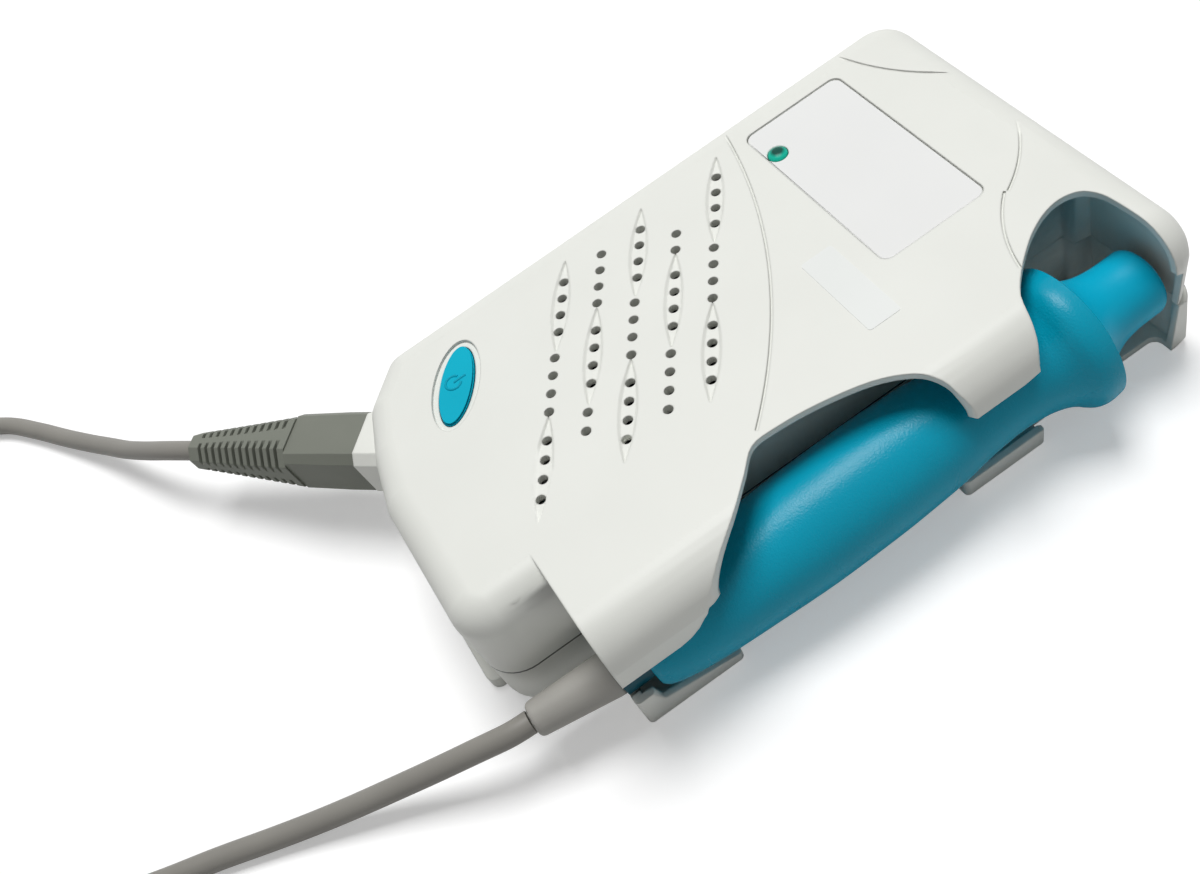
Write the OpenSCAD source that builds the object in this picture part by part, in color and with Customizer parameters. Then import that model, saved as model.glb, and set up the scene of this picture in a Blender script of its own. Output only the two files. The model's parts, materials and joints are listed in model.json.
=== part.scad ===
// Pocket vascular doppler with a side holder for its pencil probe.
// Lengths are in millimetres and +Z is up. The case lies on its back at z = 0.
// Inside the modules x runs from the case's left edge, y from its lower end.
// on_table() then moves the whole to the frame, whose origin is the middle of
// the case's back.

/* [Case] */
// Width of the box that holds the electronics
box_w = 70.2; // [69.5:0.1:72]
// Length of the case
case_l = 144.5; // [143:0.5:150]
// Height of the case
case_h = 35.4; // [35:0.1:38]
// Height of the seam between the two shells
seam_z = 15; // [14.5:0.1:15.5]
// Wall thickness of the shells
wall = 2.2; // [2:0.05:2.4]
// Rounding of the rims of the top cover
rim_r = 6.5; // [5.5:0.1:6.5]
// Rounding under the bottom shell
keel_r = 4.5; // [3.5:0.1:4.5]
// Overlap of the lip inside the seam
lip_h = 1.4; // [1:0.1:1.8]

/* [Probe holder] */
// Width that the holder adds to the box
holder_w = 18.2; // [18:0.1:19]
// Distance from the lower end of the case to the holder's end
holder_y = 18.5; // [17.5:0.1:19]
// Rounding of the holder's shoulder
shoulder_r = 9; // [8:0.1:9]
// Wall thickness of the holder at the side
holder_wall = 1.5; // [1.4:0.05:1.7]
// Floor thickness of the holder
holder_floor = 1.6; // [1.4:0.05:1.6]
// How far the holder's side leans in at the table
side_lean = 2.8; // [2.4:0.1:3]
// Lowest edge of the side wall at the tail
wall_low = 20.8; // [20.6:0.1:21.5]
// Lower edge of the clip over the waist
clip_low = 26.2; // [26:0.1:26.4]

/* [Probe] */
// Length of the teal body from its tail to its flange's front
body_l = 98; // [97:0.2:98.4]
// Largest radius of the grip
grip_r = 11.2; // [10.8:0.1:11.3]
// Radius of the waist behind the flange
waist_r = 9.3; // [8.9:0.1:9.4]
// Radius of the flange
flange_r = 14.4; // [13.8:0.1:14.5]
// Length of the head in front of the flange
head_l = 17.2; // [16.5:0.1:17.2]
// Radius of the head's front end
head_r = 6.9; // [6.4:0.1:7.1]
// Radius of the dark neck behind the tail
neck_r = 5; // [4.6:0.1:5]
// Radius of the strain relief at the neck
relief_r = 4.5; // [4.2:0.1:4.6]
// Length of the strain relief outside the holder
relief_l = 17; // [15:0.5:17]
// Tilt of the probe, head upwards, in degrees
probe_tilt = 2.3; // [2.2:0.05:2.4]

/* [Speaker] */
// Diameter of the loudspeaker
speaker_d = 50; // [46:0.5:50]
// Diameter of one sound hole
hole_d = 2; // [1.6:0.1:2.2]
// Distance between two holes of a row
hole_step = 4.21; // [4:0.01:4.3]
// Distance between two rows along the case
row_step = 9.4; // [9:0.05:9.6]
// Angle of the rows to the case's width
row_angle = 34.3; // [33:0.1:36]
// Depth of the leaf-shaped grooves
leaf_depth = 0.5; // [0.3:0.05:0.7]

/* [Controls] */
// Length of the power button
button_l = 18.9; // [17:0.1:20]
// Width of the power button
button_w = 7; // [6:0.1:8]
// Travel of the power button
button_travel = 0.8; // [0.5:0.1:1]
// Diameter of the volume wheel
wheel_d = 17; // [16:0.1:17.4]
// Thickness of the volume wheel
wheel_t = 3; // [2.4:0.1:3.2]
// Bore radius of the earphone socket
jack_r = 1.8; // [1.7:0.05:1.9]
// Diameter of the lamp
lamp_d = 4.1; // [3.5:0.1:4.4]

/* [Panel] */
// Width of the front panel
panel_w = 47.3; // [44:0.1:47.5]
// Height of the front panel
panel_h = 23.5; // [21:0.1:24]
// Depth of the panel's recess
panel_depth = 1; // [0.8:0.05:1.2]

/* [Batteries] */
// Diameter of one cell
cell_d = 14.2; // [13.5:0.1:14.4]
// Length of one cell with its nub
cell_l = 50.5; // [49:0.1:51]
// Thickness of the battery door
door_t = 1.9; // [1.6:0.1:2]

/* [Plug and cord] */
// Width of the plug's shell
plug_w = 13.4; // [12.8:0.1:13.6]
// Length of the plug's shell
plug_l = 18.6; // [17:0.2:20]
// Length of the ribbed boot
boot_l = 30.2; // [28:0.2:30.2]
// Diameter of the cord
cord_d = 4.6; // [4.4:0.05:4.7]

/* [Hidden] */

// Clearances
slip = 0.25;
face_gap = 0.1;
shaft_gap = 0.05;

// Facets of the rounded shells and of round parts
shell_fn = 40;
round_fn = 40;

// Frame: the case's middle goes to the origin. The cord keeps its own points,
// which were chosen with the case at its first size.
middle_x = 46;
middle_y = 72;

// Probe along its axis, which starts at the holder's end: the neck, then the
// body, the head and its nose
tail_l = 5.9;
body_start = tail_l;
head_start = body_start + body_l;
nose_gap = 1.5;
far_wall = 3.4;

// Case, derived. The holder's far end follows the probe that it takes.
side_x = box_w + holder_w;
bay_x = box_w - 4.2;
bay_wide_x = bay_x - 6;
bay_end_y = holder_y + head_start + head_l + nose_gap;
holder_end = bay_end_y + far_wall;
bay_wide_y = bay_end_y - 34.1;
boss_block = 3.6;
clip_rise = 0.8;
ceiling = case_h - wall;
inner_x = bay_x - wall;
inner_wide_x = bay_wide_x - wall;

// Corners of the box: centre and radius. The lower left one is a wide curve
// with a straight stretch for the plug's collar.
far_corner_r = 8;
box_corners = [
    [rim_r, 18.8, rim_r],
    [12.6, 12.6, rim_r],
    [22.5, 9, rim_r],
    [34, rim_r, rim_r],
    [box_w - far_corner_r, far_corner_r, far_corner_r],
    [box_w - far_corner_r, case_l - far_corner_r, far_corner_r],
    [far_corner_r, case_l - far_corner_r, far_corner_r]
];

// Scallop over the grip, from the holder's side wall to the clip's tip: distance
// in from the holder's side and along from its end
scallop = [[-2.6, 17], [0, 19], [1.1, 22.2], [5.1, 28.9], [7.9, 32.9], [12.4, 37.9], [16.2, 42.1],
           [16.5, 47.5], [15.4, 55.8], [12.8, 65.2], [9.1, 71.3], [5, 74.2], [2, 75.2], [-2.6, 78]];

// Arch over the probe's head, from the clip round to the end pillar: distance in
// from the holder's side and back from the bay's end
arch = [[-2.6, 33.5], [0.4, 32.5], [1.8, 31.3], [4.4, 30.1], [9.4, 28.2], [13.6, 24.5], [17.2, 20.1],
        [19.2, 17], [20.7, 13.7], [21.4, 10.5], [21.1, 7.7], [19.8, 5.4], [17, 3.9], [13.4, 3.4],
        [8.4, 3.2], [2.9, 3.1], [-2.6, 2.9]];

scallop_line = [for (p = scallop) [side_x - p[0], holder_y + p[1]]];
arch_line = [for (p = arch) [side_x - p[0], bay_end_y - p[1]]];

// Lower edge of the side wall at the tail: distance along the holder, rise
tail_edge = [[12.5, 0], [14.8, 0.6], [16.7, 1.9], [18.1, 3.7], [19.9, 5.6]];

// Tabs of the bottom shell under the probe. The tail's tab goes along from the
// holder's end, the front one back from the bay's end: start, end, heights.
tail_tab = [0, 4.3, 11];
tail_ramp = [5.1, 21.5, 6.2, 2.6];
front_tab = [49.6, 31.1, 5.2];
front_tab_y0 = bay_end_y - front_tab[0];
front_tab_y1 = bay_end_y - front_tab[1];
ramp_end_y = holder_y + tail_ramp[1];
floor_edge = side_x - 6.9;
foot_r = 2;
pillar_y = bay_end_y - 1.2;

// Power button
button_x = 19.7;
button_y = 24.85;
button_z = case_h + 0.1;
button_rim = 1.5;
button_rim_depth = 0.6;
button_flange = 1;
button_flange_t = 1.2;

// Loudspeaker
speaker_x = 34;
speaker_y = 58.7;
gasket_t = 1;
speaker_rim_t = 2;
speaker_ring_t = 1.2;
speaker_ring_h = 4.6;
cone_low_r = 10;
magnet_d = 30;
magnet_t = 5.2;

// First hole of the first row, and what each row holds: first step, number, in
// a leaf or not
row_x = 12.94;
row_y = 54.2;
long_row = [[0, 4, true], [4.6, 4, false], [9.06, 4, true]];
row_plan = [
    long_row,
    [[0, 4, false], [4.52, 4, true], [9.17, 2, false]],
    long_row,
    [[2.06, 2, false], [4.5, 4, true], [9.13, 4, false]],
    long_row
];
leaf_w = 4;
leaf_over = 5.5;
leaf_slope = 0.6;

// Front panel and lamp
panel_x = 8.8;
panel_y = case_l - 43.1;
panel_t = 0.8;
lamp_x = panel_x + 8.8;
lamp_y = panel_y + 2.6;
lamp_dome = 0.9;

// Boards
main_board_z = 16;
board_t = 1.6;
board_x = 4;
board_y = case_l - 56.5;
board_w = 48;
board_l = 40;
board_posts = [for (p = [[12, 4], [44, 4], [5, 36], [44, 36]]) [board_x + p[0], board_y + p[1]]];
small_board_z = 20.4;
small_board = [12.5, 20.5, 14.8, 14];
small_posts = [[15.5, 31], [25, 23]];
socket_post = [15.6, 12.6];
post_r = 3;
small_post_r = 2.4;
pilot_r = 1;
switch_w = 6;
switch_h = 3.6;
plunger_r = 1.7;
plunger_h = 1.4;

// Volume wheel
wheel_y = board_y + 10;
wheel_out = 1.7;
wheel_x = wheel_d / 2 - wheel_out;
pot_w = 8;
pot_h = 3;
pot_shaft_r = 1.5;
wheel_gap = 0.4;
wheel_teeth = 36;

// Earphone socket
jack_x = 22;
jack_w = 6.6;
jack_h = 5.6;
jack_l = 14;
jack_barrel_r = 3;

// Battery well
well_wall = 1.6;
well_gap = 1.2;
cell_pitch = cell_d + well_gap;
well_w = 2 * cell_d + 3 * well_gap;
well_x = inner_x - 0.2 - well_wall - well_w;
well_y = 5.2;
contact_t = 0.5;
spring_l = 6;
well_l = cell_l + spring_l + 2 * contact_t;
cell_z = door_t + 0.3 + cell_d / 2;
well_roof = cell_z + cell_d / 2 + 0.6;
door_tongue = 1;
door_tongue_t = 0.8;
door_lip = 3;
door_lip_h = 3.2;
door_end = well_y + well_l - 4;
door_grooves = 5;
door_groove_depth = 0.5;
spring_r = 4;
spring_wire = 0.7;
spring_turns = 4;

// Case screws
case_bosses = [[6.4, 40], [box_w - 4.6, 12], [8, case_l - 8.5], [52, case_l - 8.5]];
boss_r = 3.1;
screw_r = 1;
screw_head_r = 2.4;
screw_head_t = 1.6;
screw_sink = 3;
screw_l = 20;

// Collar and plug: their axis leaves the lower left corner at 45 degrees
plug_x = 6;
plug_y = 3;
plug_z = 18.5;
plug_heading = 225;
plug_droop = 3.5;
collar_wall = 1.4;
collar_w = plug_w + 0.4;
collar_in = 9;
nose_w = plug_w - 2 * collar_wall - 0.6;
nose_l = 7;
socket_l = 8.5;
plug_end_w = 12.8;
boot_w = 13.6;
boot_end_r = 3.8;
boot_slots = 12;
slot_w = 1;

// Probe: its axis starts at the middle of the neck's end in the holder's wall,
// at the height that keeps the flange off the floor
flange_gap = 0.97;
probe_x = side_x - 9;
probe_z = holder_floor + flange_gap + flange_r - head_start * sin(probe_tilt);
relief_turn = [-2, 5.2, 0];
end_wall = 2;
neck_slot_left = 8.4;
neck_gap = 0.5;

// Cord's route on the table, chosen by hand and given in the final frame
plug_run = [[-74.4, -103.4, 15.5], [-77.7, -106.7, 15.2], [-83.4, -111.6, 13.8], [-90, -116.4, 11.2],
            [-97.4, -121.4, 8.4], [-104.8, -126, 6.2], [-112.4, -131, 4.4], [-121.4, -137, 3],
            [-130.8, -143.4, 2.4], [-139.8, -150.6, 2.3], [-146.4, -160, 2.3], [-148.6, -172, 2.3],
            [-146, -184, 2.4], [-140.4, -196, 2.7], [-135.2, -207, 3], [-133.2, -214.4, 3.1],
            [-133, -219, 3.1]];
probe_run = [[31.8, -70.8, 12.7], [31.4, -75.4, 12.6], [29.4, -82, 11.4], [26.2, -91, 9],
             [22.9, -100, 6.7], [19.8, -109, 4.9], [16.6, -118, 3.4], [13.5, -127, 2.6], [10.2, -137, 2.3],
             [6.2, -151, 2.3], [0.4, -168, 2.3], [-8, -186, 2.3], [-20, -203, 2.4], [-36, -218, 3.6],
             [-54, -230, 6], [-70, -238.4, 8], [-83, -244.2, 8.3], [-88, -245.8, 8.3],
             [-92.5, -247, 8.3]];
cord_sides = 8;

// Stored coil: it makes coil_turns inwards, then coil_out back out above them
coil_turns = 3;
coil_x = -100;
coil_y = -219;
coil_pitch = cord_d + 0.6;
coil_in_r = 17.4;
coil_out = 2 + 7 / 24;
coil_rings = 24;
coil_sides = 6;
tie_t = 0.8;
tie_w = 8;
coil_z = tie_t + cord_d / 2;

// Points on a curve through a few points
function at(p, i) = p[max(0, min(len(p) - 1, i))];
function blend_4(a, b, c, d, t) =
    0.5 * (2 * b + (c - a) * t + (2 * a - 5 * b + 4 * c - d) * t * t + (3 * b - a - 3 * c + d) * t * t * t);
function smooth_line(p, n) =
    [for (i = [0:len(p) - 2]) for (k = [0:n - 1]) blend_4(at(p, i - 1), p[i], p[i + 1], at(p, i + 2), k / n),
     p[len(p) - 1]];

// Points of an arc
function arc(x, y, r, a0, a1, n) = [for (i = [0:n]) [x + r * cos(a0 + (a1 - a0) * i / n),
                                                     y + r * sin(a0 + (a1 - a0) * i / n)]];

// A tube along points: rings, then triangles between them and on both ends
function unit(v) = v / norm(v);
function heading(p, i) = unit(at(p, i + 1) - at(p, i - 1));
function ring(p, i, r, n) =
    let (t = heading(p, i), s = unit(cross([0, 0, 1], t)), u = cross(t, s))
    [for (k = [0:n - 1]) p[i] + r * (cos(360 * (k + 0.5) / n) * s + sin(360 * (k + 0.5) / n) * u)];
function tube_points(p, r, n) = [for (i = [0:len(p) - 1]) for (q = ring(p, i, r, n)) q];
function tube_faces(m, n) = concat(
    [for (i = [0:m - 2]) for (k = [0:n - 1]) [i * n + k, (i + 1) * n + k, (i + 1) * n + (k + 1) % n]],
    [for (i = [0:m - 2]) for (k = [0:n - 1]) [i * n + k, (i + 1) * n + (k + 1) % n, i * n + (k + 1) % n]],
    [for (k = [1:n - 2]) [0, k, k + 1]],
    [for (k = [1:n - 2]) [(m - 1) * n, (m - 1) * n + k + 1, (m - 1) * n + k]]);

module tube(p, r, n)
    polyhedron(tube_points(p, r, n), tube_faces(len(p), n), convexity = 10);

module on_table()
    translate([-middle_x, -middle_y, 0]) children();

// The box's plan, drawn in by a distance
module box_plan(inset)
    hull() for (c = box_corners) translate([c[0], c[1]]) circle(c[2] - inset, $fn = shell_fn);

// A corner post of the box, rounded at its top
module top_post(r, h, e)
    rotate_extrude($fn = shell_fn)
        polygon(concat([[0, 0], [r, 0]], arc(r - e, h - e, e, 0, 90, 6), [[0, h]]));

// The box from z0 up to the rounded top
module box_form(inset, z0)
    hull() for (c = box_corners) translate([c[0], c[1], z0])
        top_post(c[2] - inset, case_h - inset - z0, rim_r - inset);

// The box from its rounded keel up to z1
module keel_form(inset, z1)
    hull() for (c = box_corners) translate([c[0], c[1], z1])
        mirror([0, 0, 1]) top_post(c[2] - inset, z1 - inset, keel_r - inset);

// The holder's outline seen along the case, drawn in by a distance
function holder_ring(inset, y) = [for (p = concat(
    [[40, 0], [40, case_h - inset]],
    arc(side_x - shoulder_r, case_h - shoulder_r, shoulder_r - inset, 90, 0, 8),
    [[side_x - side_lean - inset, 0]])) [p[0], y, p[1]]];

// The holder's block, its far end rounded like the rims
module holder_form(inset, y0) {
    rings = concat([holder_ring(inset, y0)],
                   [for (a = [0:15:90]) holder_ring(inset + (rim_r - inset) * (1 - cos(a)),
                                                    holder_end - rim_r + (rim_r - inset) * sin(a))]);
    polyhedron([for (r = rings) each r], tube_faces(len(rings), len(rings[0])), convexity = 10);
}

// Plan of the room for the electronics: beside the holder it is narrower
module room_plan()
    polygon([[-1, -5], [box_w, -5], [box_w, holder_y - wall], [inner_x, holder_y - wall],
             [inner_x, bay_wide_y - wall], [inner_wide_x, bay_wide_y - wall],
             [inner_wide_x, case_l + 1], [-1, case_l + 1]]);

// Plan of the bay that takes the probe, with the block of a screw boss left in its corner
module bay_plan()
    polygon([[bay_x, holder_y + end_wall], [side_x + 5, holder_y + end_wall], [side_x + 5, bay_end_y],
             [bay_wide_x + boss_block, bay_end_y], [bay_wide_x + boss_block - 0.6, bay_end_y - boss_block],
             [bay_wide_x, bay_end_y - boss_block - 0.4], [bay_wide_x, bay_wide_y], [bay_x, bay_wide_y - 3]]);

// A cut through the holder's side, drawn as distance along the case and height
module side_cut(x0, x1)
    translate([x0, 0, 0]) rotate([90, 0, 90]) linear_extrude(x1 - x0) children();

module ellipse(l, w)
    scale([l / 2, w / 2]) circle(1, $fn = 48);

module at_button()
    translate([button_x, button_y]) rotate(-row_angle) children();

// A leaf between two round sides, along +X
module leaf_plan(l, w) {
    r = (l * l / 4 + w * w / 4) / w;
    intersection() {
        translate([0, r - w / 2]) circle(r, $fn = 120);
        translate([0, w / 2 - r]) circle(r, $fn = 120);
    }
}

module on_row(i, step)
    translate([row_x, row_y + i * row_step]) rotate(-row_angle) translate([step * hole_step, 0]) children();

module sound_holes()
    for (i = [0:len(row_plan) - 1]) for (g = row_plan[i]) for (k = [0:g[1] - 1])
        on_row(i, g[0] + k) circle(hole_d / 2, $fn = 20);

// The leaves' sides slope from the cover's face down to a narrower floor
module sound_leaves()
    for (i = [0:len(row_plan) - 1]) for (g = row_plan[i]) if (g[2])
        on_row(i, g[0] + (g[1] - 1) / 2) {
            l = (g[1] - 1) * hole_step + 2 * leaf_over;
            floor_l = l - 2 * leaf_slope;
            floor_w = leaf_w - 2 * leaf_slope;
            spread = 4 * leaf_slope;
            translate([0, 0, case_h - leaf_depth])
                linear_extrude(2 * leaf_depth, scale = [1 + spread / floor_l, 1 + spread / floor_w])
                    leaf_plan(floor_l, floor_w);
        }

// The shallow lines that part the cover's faces: centre, radius, range of angles
crease_lines = [[-21.3, -23.7, 125.7, 43.5, 78.5], [-7.4, 177.6, 50.2, -77, -45],
                [30.1, 111.2, 32.6, 29, 75], [81.4, 146.2, 29.9, 220.5, 256]];
crease_w = 0.5;
crease_depth = 0.35;

module crease_plan()
    for (c = crease_lines)
        polygon(concat(arc(c[0], c[1], c[2], c[3], c[4], 24),
                       arc(c[0], c[1], c[2] + crease_w, c[4], c[3], 24)));

module panel_plan(gap)
    translate([panel_x + gap, panel_y + gap])
        offset(r = 2, $fn = 32) offset(delta = -2) square([panel_w - 2 * gap, panel_h - 2 * gap]);

module at_plug()
    translate([plug_x, plug_y, plug_z]) rotate([0, plug_droop, plug_heading]) rotate([90, 0, 90]) children();

// What the collar takes out of both shells, with room for the socket behind it
module collar_seat() at_plug()
    translate([0, 0, -collar_in - 3]) linear_extrude(collar_in + 4) cut_square(collar_w + face_gap, 2);

// A square with cut corners
module cut_square(w, cut)
    polygon([for (s = [[1, 1], [-1, 1], [-1, -1], [1, -1]]) for (k = [0, 1])
             (s[0] * s[1] > 0) == (k == 0) ? [s[0] * w / 2, s[1] * (w / 2 - cut)]
                                           : [s[0] * (w / 2 - cut), s[1] * w / 2]]);

// The battery well's outside, grown by a gap
module well_block(gap)
    translate([well_x - well_wall - gap, well_y - well_wall - gap, 0.5])
        cube([well_w + 2 * (well_wall + gap), well_l + 2 * (well_wall + gap),
              well_roof + well_wall + gap - 0.5]);

// Bosses and posts
module columns(places, r, z0, z1)
    for (p = places) translate([p[0], p[1], z0]) cylinder(r = r, h = z1 - z0, $fn = round_fn);

module top_cover() color([0.9, 0.91, 0.885]) on_table() difference() {
    union() {
        difference() {
            union() {
                box_form(0, seam_z);
                intersection() {
                    holder_form(0, holder_y);
                    translate([40, 0, seam_z]) cube([side_x, holder_end + 1, case_h]);
                }
            }
            intersection() {
                box_form(wall, seam_z - 1);
                translate([0, 0, seam_z - 2]) linear_extrude(case_h) room_plan();
            }
            intersection() {
                holder_form(holder_wall, holder_y);
                translate([0, 0, seam_z - 2]) linear_extrude(case_h) bay_plan();
            }
            // Room for the lip of the bottom shell
            translate([0, 0, seam_z - 1]) linear_extrude(lip_h + 1 + face_gap) intersection() {
                box_plan(wall / 2);
                translate([0, -1]) square([inner_x - 10, case_l + 2]);
            }
        }
        // Ring that centres the loudspeaker
        translate([speaker_x, speaker_y, ceiling - speaker_ring_h])
            cylinder(d = speaker_d + 2 * slip + 2 * speaker_ring_t, h = speaker_ring_h + 0.1, $fn = 96);
        columns(case_bosses, boss_r, seam_z + face_gap, ceiling + 0.1);
    }
    // Room for the battery well beside the corner and its boss
    well_block(slip);
    translate([speaker_x, speaker_y, seam_z])
        cylinder(d = speaker_d + 2 * slip, h = ceiling - seam_z, $fn = 96);
    columns(case_bosses, pilot_r, seam_z - 1, seam_z + 14);
    // Scallop over the grip and arch over the head
    translate([0, 0, seam_z - 1]) linear_extrude(case_h) polygon(smooth_line(scallop_line, 4));
    translate([0, 0, seam_z - 1]) linear_extrude(case_h) polygon(smooth_line(arch_line, 3));
    // The holder's side, open under the wall, the clip and the arch
    side_cut(bay_x + 8, side_x + 5)
        polygon(concat([[holder_y - 1, seam_z - 1], [holder_y - 1, wall_low]],
                       [for (p = tail_edge) [holder_y + p[0], wall_low + p[1]]],
                       [[holder_y + 21.5, clip_low], [bay_end_y - 36.1, clip_low],
                        [bay_end_y - 31.6, clip_low + clip_rise], [pillar_y - 2.5, clip_low + clip_rise],
                        [pillar_y, clip_low - 1.2], [pillar_y, seam_z - 1]]));
    // Slot for the neck in the holder's end
    translate([0, holder_y - 1, 0]) rotate([90, 0, 0]) mirror([0, 0, 1])
        linear_extrude(end_wall + 2) neck_slot();
    // Sound holes and their leaves
    translate([0, 0, ceiling - 1]) linear_extrude(wall + 2) sound_holes();
    sound_leaves();
    translate([0, 0, case_h - crease_depth]) linear_extrude(1) crease_plan();
    // Power button and its sunken rim
    translate([0, 0, ceiling - 1]) linear_extrude(wall + 2)
        at_button() ellipse(button_l + 2 * slip, button_w + 2 * slip);
    translate([0, 0, case_h - button_rim_depth]) linear_extrude(1)
        at_button() ellipse(button_l + 2 * button_rim, button_w + 2 * button_rim);
    // Panel and lamp
    translate([0, 0, case_h - panel_depth]) linear_extrude(2) panel_plan(0);
    translate([lamp_x, lamp_y, ceiling - 1]) cylinder(d = lamp_d + slip, h = wall + 1, $fn = round_fn);
    // Slot for the volume wheel and hole for the earphone socket
    translate([-1, wheel_y - wheel_d / 2, wheel_z() - 0.6])
        cube([wall + 1.5, wheel_d, wheel_t + 1.2]);
    translate([jack_x, case_l + 1, jack_z()]) rotate([90, 0, 0])
        cylinder(r = jack_barrel_r + face_gap, h = wall + 2, $fn = round_fn);
    // Seat of the collar
    collar_seat();
}

module neck_slot() {
    translate([probe_x, probe_z]) circle(neck_r + neck_gap, $fn = 48);
    translate([probe_x - neck_slot_left, probe_z - neck_r - neck_gap])
        square([neck_slot_left, 2 * (neck_r + neck_gap)]);
    translate([probe_x, tail_tab[2]]) square([side_x, probe_z + neck_r + neck_gap - tail_tab[2]]);
}

module bottom_shell() color([0.88, 0.885, 0.86]) on_table() difference() {
    union() {
        difference() {
            union() {
                keel_form(0, seam_z);
                holder_low();
            }
            bay_low();
            intersection() {
                keel_form(wall, seam_z + 1);
                translate([0, 0, -1]) linear_extrude(seam_z + 3) room_plan();
            }
        }
        // Lip inside the seam
        translate([0, 0, seam_z - 2]) linear_extrude(lip_h + 2) intersection() {
            difference() {
                box_plan(wall / 2 + face_gap);
                box_plan(wall);
            }
            translate([0, -1]) square([inner_x - 11, case_l + 2]);
        }
        well_block(0);
        columns(case_bosses, boss_r, 0.2, seam_z);
        columns(board_posts, post_r, 1, main_board_z);
        columns(small_posts, small_post_r, 1, small_board_z);
        columns([socket_post], small_post_r, 1, plug_z - plug_w / 2 + 0.2);
    }
    translate([well_x, well_y, -1]) cube([well_w, well_l, well_roof + 1]);
    // Way of the door, open at the lower end, with a groove along each side
    translate([well_x + well_wall, -5, -1])
        cube([well_w - 2 * well_wall, door_end + 5 + slip, door_t + 1 + slip]);
    translate([well_x + well_wall - door_tongue - slip, -5, door_t - door_tongue_t - slip])
        cube([well_w - 2 * (well_wall - door_tongue - slip), door_end + 5 + slip,
              door_tongue_t + 2 * slip]);
    columns(board_posts, pilot_r, main_board_z - 8, main_board_z + 1);
    columns(small_posts, pilot_r, small_board_z - 8, small_board_z + 1);
    columns(case_bosses, screw_r + 0.3, -1, seam_z + 1);
    columns(case_bosses, screw_head_r + slip, -1, screw_sink);
    // Slot for the neck in the holder's end
    translate([0, holder_y - 1, 0]) rotate([90, 0, 0]) mirror([0, 0, 1])
        linear_extrude(end_wall + 2) neck_slot();
    collar_seat();
}

// The holder's floor and side below the seam
module holder_low() intersection() {
    linear_extrude(seam_z) hull() {
        translate([40, holder_y]) square([side_x - 40, 10]);
        translate([side_x - rim_r, holder_end - rim_r]) circle(rim_r, $fn = shell_fn);
        translate([40, holder_end - 20]) square([5, 20]);
    }
    side_profile(0, 0);
    side_cut(40, side_x + 1)
        polygon(concat([[holder_y - 1, seam_z + 1], [holder_y - 1, 0]],
                       arc(holder_end - keel_r, keel_r, keel_r, -90, 0, 8), [[holder_end, seam_z + 1]]));
}

// The holder's leaning side seen along the case, drawn in by its wall
module side_profile(inset, z0)
    translate([0, holder_end + 1, z0]) rotate([90, 0, 0]) linear_extrude(holder_end)
        polygon([[40, 0], [side_x - side_lean - inset, 0], [side_x - inset, case_h - shoulder_r],
                 [40, case_h - shoulder_r]]);

// What the bay and its open side take away from the bottom shell
module bay_low() {
    intersection() {
        translate([0, 0, holder_floor]) linear_extrude(seam_z) bay_plan();
        side_profile(holder_wall, 0);
    }
    // Heights of the tabs along the side
    side_cut(probe_x + 2, side_x + 5)
        polygon([[holder_y - 1, tail_tab[2]], [holder_y + tail_tab[1], tail_tab[2]],
                 [holder_y + tail_ramp[0], tail_ramp[2]], [ramp_end_y, tail_ramp[3]],
                 [ramp_end_y + 0.6, holder_floor], [front_tab_y0 - 0.6, holder_floor],
                 [front_tab_y0, front_tab[2]], [front_tab_y1 - 1, front_tab[2]],
                 [front_tab_y1, front_tab[2] - 1], [front_tab_y1 + 0.3, holder_floor],
                 [pillar_y, holder_floor], [pillar_y, seam_z + 1], [holder_y - 1, seam_z + 1]]);
    // Floor drawn back between and beyond the tabs
    translate([floor_edge, ramp_end_y, -1]) cube([10, front_tab_y0 - ramp_end_y, seam_z]);
    translate([floor_edge, 0, -1]) linear_extrude(seam_z)
        polygon(concat([[10, front_tab_y1], [0, front_tab_y1]],
                       arc(foot_r, pillar_y - foot_r, foot_r, 180, 90, 6), [[10, pillar_y]]));
}

// Plan of the door's lip, rounded at its outer corners
module lip_plan(w) intersection() {
    translate([0, -door_lip]) offset(r = 2, $fn = 32) offset(delta = -2) square([w, door_lip + 4]);
    translate([0, -door_lip]) square([w, door_lip]);
}

module battery_door() color([0.88, 0.885, 0.86]) on_table() {
    w = well_w - 2 * well_wall - 2 * slip;
    x0 = well_x + well_wall + slip;
    difference() {
        translate([x0, 0, 0]) cube([w, door_end, door_t]);
        // Grooves for the thumb that slides the door
        for (k = [0:door_grooves - 1])
            translate([x0 + 7, 6 + 2 * k, -1]) cube([w - 14, 1, 1 + door_groove_depth]);
    }
    translate([x0 - door_tongue, 3, door_t - door_tongue_t])
        cube([w + 2 * door_tongue, door_end - 3, door_tongue_t]);
    translate([x0, 0, 0]) linear_extrude(door_lip_h) lip_plan(w);
}

module label_panel() color([0.93, 0.95, 0.96]) on_table() difference() {
    translate([0, 0, case_h - panel_depth]) linear_extrude(panel_t) panel_plan(0.15);
    translate([lamp_x, lamp_y, case_h - panel_depth - 1]) cylinder(d = lamp_d + slip, h = 3, $fn = round_fn);
}

module led_lens() color([0.1, 0.62, 0.3]) on_table() {
    low = main_board_z + board_t + led_h + face_gap;
    side = case_h - 0.5 - low;
    translate([lamp_x, lamp_y, low]) rotate_extrude($fn = round_fn)
        polygon(concat([[0, 0], [1.5, 0], [1.5, 8], [lamp_d / 2, 9]],
                       [for (a = [0:15:90]) [lamp_d / 2 * cos(a), side + lamp_dome * sin(a)]]));
}

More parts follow.
